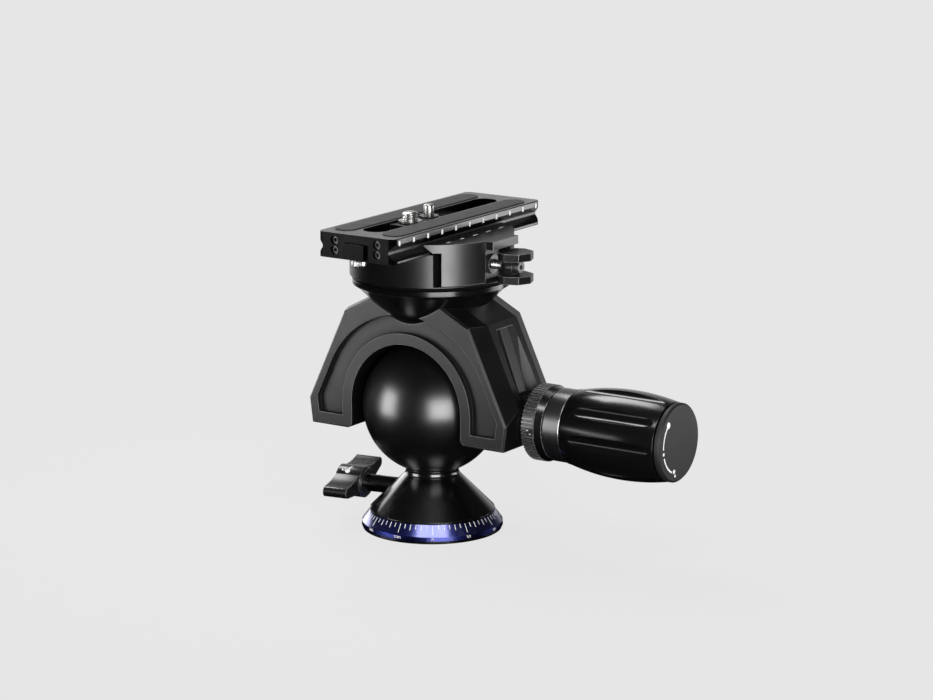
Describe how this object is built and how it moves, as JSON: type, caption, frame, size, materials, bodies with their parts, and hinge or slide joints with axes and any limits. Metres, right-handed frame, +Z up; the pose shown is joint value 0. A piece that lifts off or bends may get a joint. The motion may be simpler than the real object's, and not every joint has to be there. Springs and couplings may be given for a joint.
{
  "type": "ball head",
  "caption": "Tripod ball head: a yoke swings over a fixed ball, locked by a fluted handle, and carries a dovetail clamp with a slotted quick plate.",
  "frame": {"origin": "mouth of the tripod thread, in the middle of the base's underside", "axes": "+Z up, +X along the handle, the quick plate runs along Y and its front end is at -Y"},
  "size_m": [0.1703, 0.1136, 0.1389],
  "materials": {
    "black_anodised": "satin black anodised",
    "blue_anodised": "blue anodised",
    "ball_black": "fine turned, black hard anodised",
    "grip_black": "glossy black",
    "stainless": "turned stainless steel",
    "brass": "turned",
    "acetal": "natural acetal",
    "rubber": "matte dark grey"
  },
  "bodies": {
    "base": {"base_plate": "black_anodised", "tripod_insert": "stainless", "scale_ring": "blue_anodised", "base_screws": "stainless", "pan_glide_ring": "acetal"},
    "turret": {"pan_cone": "black_anodised", "ball": "ball_black", "pan_bolt": "stainless", "pan_thrust_washer": "brass"},
    "pan_knob": {"pan_lock_stud": "black_anodised", "pan_lock_knob": "black_anodised", "pan_knob_screw": "stainless"},
    "pan_pad": {"pan_brake_pad": "brass"},
    "shoes": {"fixed_shoe": "acetal", "pressure_shoe": "acetal"},
    "yoke": {"yoke": "black_anodised", "crown_pad": "acetal", "crown_bowl": "black_anodised", "bowl_screws": "stainless", "handle_bush": "stainless", "clamp_body": "black_anodised", "clamp_screws": "stainless", "guide_pins": "stainless"},
    "friction_ring": {"friction_ring": "black_anodised"},
    "handle": {"handle_spindle": "stainless", "handle_collar": "black_anodised", "handle_core": "black_anodised", "handle_grip": "grip_black", "handle_screw": "stainless", "handle_end_cap": "grip_black"},
    "thrust_plug": {"thrust_plug": "brass"},
    "jaw": {"moving_jaw": "black_anodised"},
    "clamp_knob": {"clamp_screw": "stainless", "screw_clip": "stainless", "clamp_knob": "black_anodised", "knob_cap_screw": "stainless"},
    "plate": {"quick_plate": "black_anodised", "left_strip": "rubber", "right_strip": "rubber", "front_end_block": "black_anodised", "rear_end_block": "black_anodised", "end_block_screws": "stainless", "stop_screws": "stainless"},
    "screw_slider": {"screw_slider": "black_anodised"},
    "camera_screw": {"camera_screw": "stainless", "camera_screw_flange": "stainless"},
    "pin_slider": {"pin_slider": "black_anodised"},
    "anti_twist_pin": {"anti_twist_pin": "stainless"}
  },
  "joints": [
    {"name": "base_pan", "type": "hinge", "parent": "base", "child": "turret", "pos_m": [0, 0, 0.015], "axis": [0, 0, 1], "continuous": true},
    {"name": "pan_knob_turn", "type": "hinge", "parent": "turret", "child": "pan_knob", "pos_m": [-0.03704, -0.00587, 0.0155], "axis": [-0.9877, -0.1564, 0], "range_deg": [0, 36]},
    {"name": "pan_pad_slide", "type": "slide", "parent": "turret", "child": "pan_pad", "axis": [-0.9877, -0.1564, 0], "range_m": [0, 0.0001]},
    {"name": "ball_roll", "type": "hinge", "parent": "turret", "child": "shoes", "pos_m": [0, 0, 0.053], "axis": [0, 1, 0], "range_deg": [-4, 25]},
    {"name": "ball_tilt", "type": "hinge", "parent": "shoes", "child": "yoke", "pos_m": [0, 0, 0.053], "axis": [1, 0, 0], "range_deg": [-90, 90]},
    {"name": "friction_turn", "type": "hinge", "parent": "yoke", "child": "friction_ring", "pos_m": [0.058, 0, 0.053], "axis": [1, 0, 0], "range_deg": [-120, 120]},
    {"name": "handle_turn", "type": "hinge", "parent": "yoke", "child": "handle", "pos_m": [0.09, 0, 0.053], "axis": [1, 0, 0], "range_deg": [0, 120]},
    {"name": "plug_slide", "type": "slide", "parent": "yoke", "child": "thrust_plug", "axis": [1, 0, 0], "range_m": [0, 0.00034]},
    {"name": "jaw_slide", "type": "slide", "parent": "yoke", "child": "jaw", "axis": [1, 0, 0], "range_m": [0, 0.0024]},
    {"name": "clamp_knob_turn", "type": "hinge", "parent": "jaw", "child": "clamp_knob", "pos_m": [0.041, 0, 0.1166], "axis": [1, 0, 0], "range_deg": [0, 1080]},
    {"name": "plate_slide", "type": "slide", "parent": "yoke", "child": "plate", "axis": [0, 1, 0], "range_m": [-0.013, 0.013]},
    {"name": "screw_slide", "type": "slide", "parent": "plate", "child": "screw_slider", "axis": [0, 1, 0], "range_m": [-0.017, 0.0005]},
    {"name": "screw_turn", "type": "hinge", "parent": "screw_slider", "child": "camera_screw", "pos_m": [0, -0.0158, 0.132], "axis": [0, 0, 1], "continuous": true},
    {"name": "pin_slide", "type": "slide", "parent": "plate", "child": "pin_slider", "axis": [0, 1, 0], "range_m": [-0.0005, 0.03]},
    {"name": "pin_plunge", "type": "slide", "parent": "pin_slider", "child": "anti_twist_pin", "axis": [0, 0, -1], "range_m": [0, 0.0052], "stiffness_N_per_m": 300, "springref_m": -0.002}
  ],
  "couplings": [
    {"joint": "pan_pad_slide", "follows": "pan_knob_turn", "m_per_rad": 0.00015915},
    {"joint": "plug_slide", "follows": "handle_turn", "m_per_rad": 0.00015915},
    {"joint": "clamp_knob_turn", "follows": "jaw_slide", "rad_per_m": 7850}
  ]
}
